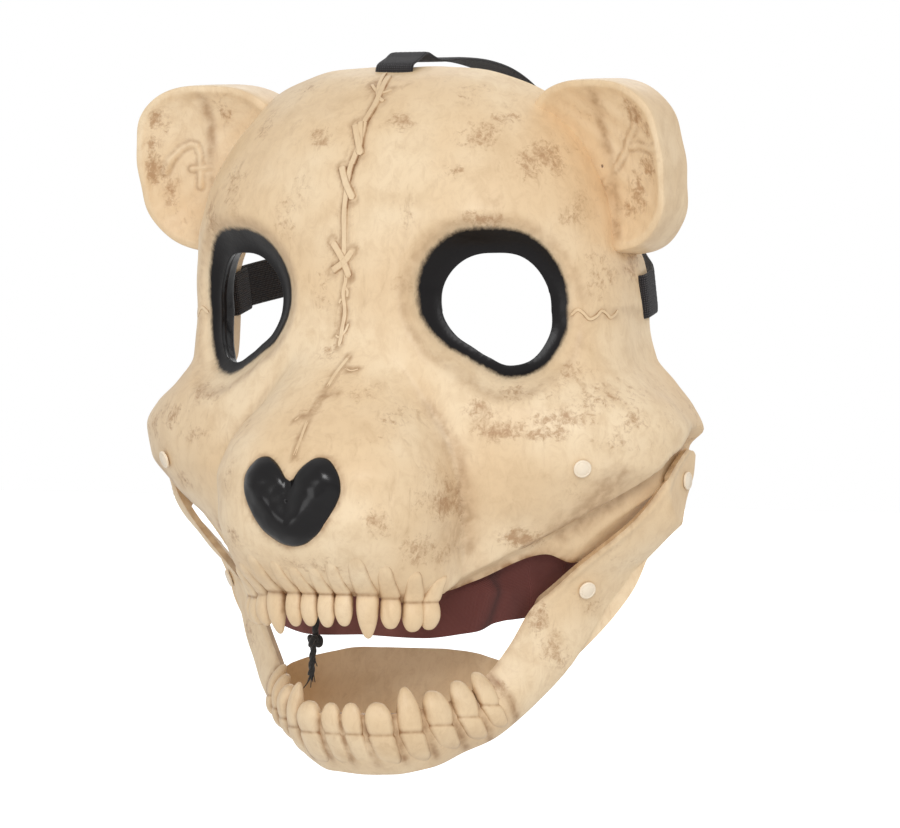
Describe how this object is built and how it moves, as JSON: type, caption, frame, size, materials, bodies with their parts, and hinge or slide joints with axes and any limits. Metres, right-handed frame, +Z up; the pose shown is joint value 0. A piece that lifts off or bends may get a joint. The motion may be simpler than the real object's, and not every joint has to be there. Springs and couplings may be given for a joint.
{
  "type": "bear skull mask",
  "caption": "Full-face moulded bear skeleton mask with round ears, open eye holes, heart-shaped nose, hinged lower jaw with teeth and black elastic head straps.",
  "frame": {"origin": "on the midline at eye height, on the bridge of the nose, where the mask seats on the wearer's face", "axes": "+X to the wearer's left, -Y out of the face, +Z up"},
  "size_m": [0.1996, 0.2213, 0.2402],
  "materials": {
    "bone_plastic": "satin moulded plastic with a brown antique wash",
    "nose_paint": "gloss black paint",
    "rivet_plastic": "smooth off-white plastic",
    "black_elastic": "woven elastic",
    "red_cloth": "plain woven cloth",
    "black_cord": "thin twisted cord, frayed"
  },
  "bodies": {
    "skull": {"skull_shell": "bone_plastic", "hinge_rivet_left": "rivet_plastic", "hinge_rivet_right": "rivet_plastic", "cheek_rivet_left": "rivet_plastic", "cheek_rivet_right": "rivet_plastic", "head_strap": "black_elastic", "crown_strap": "black_elastic", "mouth_lining": "red_cloth", "knotted_cord": "black_cord"},
    "jaw": {"jaw_shell": "bone_plastic", "jaw_rivet_left": "rivet_plastic", "jaw_rivet_right": "rivet_plastic"}
  },
  "joints": [
    {"name": "jaw_hinge", "type": "hinge", "parent": "skull", "child": "jaw", "pos_m": [0, 0.066, -0.059], "axis": [-1, 0, 0], "range_deg": [0, 10]}
  ]
}
